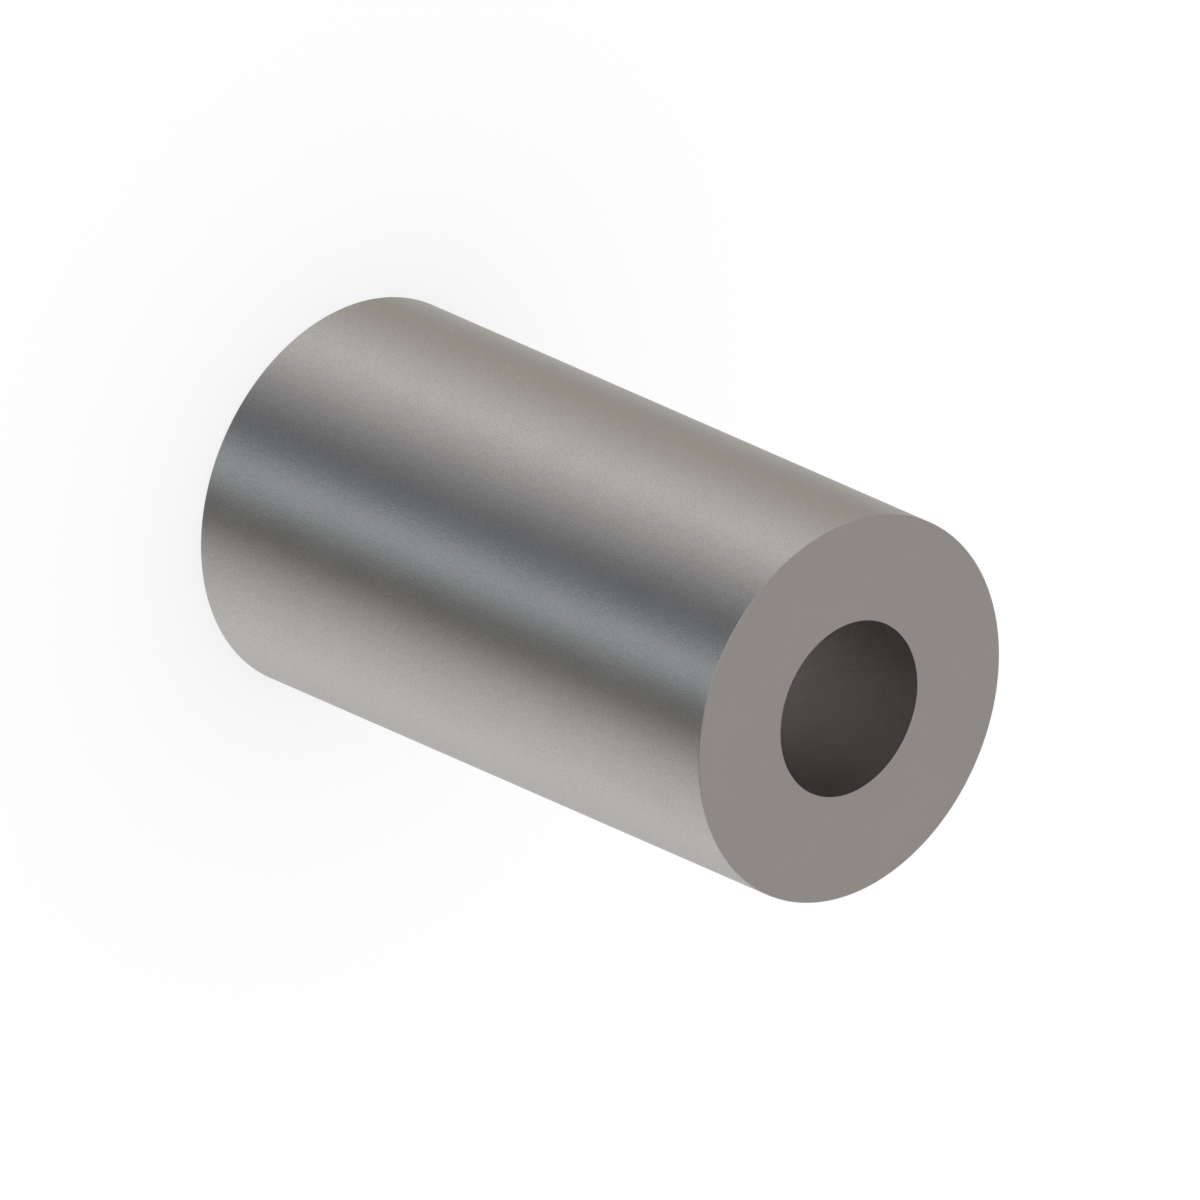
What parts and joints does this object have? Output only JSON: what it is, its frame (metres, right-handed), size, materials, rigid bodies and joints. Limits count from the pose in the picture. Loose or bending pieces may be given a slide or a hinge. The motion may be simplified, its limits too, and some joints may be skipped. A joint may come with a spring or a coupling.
{
  "type": "bushing",
  "caption": "Plain cylindrical steel bushing: a thick-walled sleeve that presses into a housing and carries a shaft or bolt in its straight through bore.",
  "frame": {"origin": "centre of the lower end face, on the bore axis", "axes": "+Z along the bore axis, from the lower end face to the upper one; the sleeve is the same all round, so +X and +Y are any two directions square to it"},
  "size_m": [0.022, 0.022, 0.04],
  "materials": {
    "steel": "satin, fine turned and ground surface"
  },
  "bodies": {
    "root": {"bushing": "steel"}
  },
  "joints": []
}
